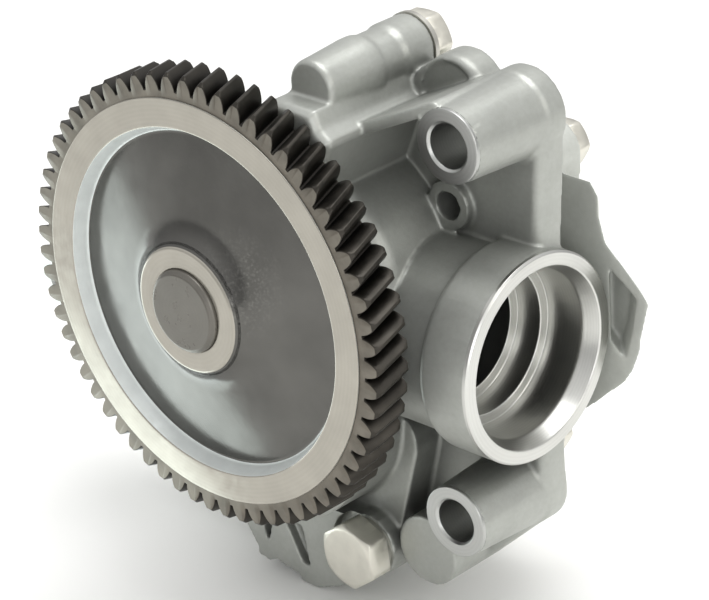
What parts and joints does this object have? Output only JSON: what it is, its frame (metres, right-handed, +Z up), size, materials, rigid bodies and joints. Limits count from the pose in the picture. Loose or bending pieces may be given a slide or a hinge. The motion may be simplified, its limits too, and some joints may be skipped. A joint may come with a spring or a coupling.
{
  "type": "engine oil pump",
  "caption": "Gear-type engine oil pump with a helical drive gear, a cast body with an open suction port, mounting bosses and screw-in valve plugs.",
  "frame": {"origin": "on the drive shaft's axis, in the plane of the drive gear's front ring face", "axes": "+Y runs along the drive shaft from the gear into the pump, +X points out of the suction port, +Z is up"},
  "size_m": [0.2015, 0.1071, 0.1821],
  "materials": {
    "gear_steel": "dark phosphated steel, faces ground bright",
    "shaft_steel": "ground steel",
    "ground_steel": "ground steel",
    "hard_steel": "hardened steel",
    "bronze": "turned bronze",
    "body_casting": "satin cast aluminium with machined faces",
    "cover_casting": "satin cast aluminium",
    "gasket_fibre": "compressed fibre",
    "zinc_screws": "zinc-plated steel",
    "zinc_plug": "zinc-plated steel",
    "seal_rubber": "moulded rubber",
    "spring_steel": "oiled spring wire",
    "seal_washer": "soft aluminium"
  },
  "bodies": {
    "housing": {"thrust_washer": "hard_steel", "front_drive_bush": "bronze", "rear_drive_bush": "bronze", "front_driven_bush": "bronze", "rear_driven_bush": "bronze", "pump_body": "body_casting", "rear_cover": "cover_casting", "cover_gasket": "gasket_fibre", "cover_screws": "zinc_screws", "dowel_pins": "hard_steel", "outlet_o_ring": "seal_rubber", "relief_spring": "spring_steel", "relief_plug": "zinc_plug", "relief_washer": "seal_washer", "regulator_spring": "spring_steel", "regulator_plug": "zinc_plug", "regulator_washer": "seal_washer"},
    "drive_rotor": {"drive_gear": "gear_steel", "drive_shaft": "shaft_steel", "driving_pump_gear": "ground_steel", "pump_gear_key": "hard_steel"},
    "driven_rotor": {"driven_pump_gear": "ground_steel", "driven_shaft": "shaft_steel"},
    "relief_valve": {"relief_plunger": "ground_steel"},
    "regulator_valve": {"regulator_plunger": "ground_steel"}
  },
  "joints": [
    {"name": "drive_spin", "type": "hinge", "parent": "housing", "child": "drive_rotor", "pos_m": [0, 0, 0], "axis": [0, 1, 0], "continuous": true},
    {"name": "driven_spin", "type": "hinge", "parent": "housing", "child": "driven_rotor", "pos_m": [0, 0, -0.044], "axis": [0, 1, 0], "continuous": true},
    {"name": "relief_slide", "type": "slide", "parent": "housing", "child": "relief_valve", "axis": [0, 1, 0], "range_m": [0, 0.006], "stiffness_N_per_m": 2000, "deforming": ["relief_spring"]},
    {"name": "regulator_slide", "type": "slide", "parent": "housing", "child": "regulator_valve", "axis": [0, -1, 0], "range_m": [0, 0.003], "stiffness_N_per_m": 2000, "deforming": ["regulator_spring"]}
  ],
  "couplings": [
    {"joint": "driven_spin", "follows": "drive_spin", "ratio": -1}
  ]
}
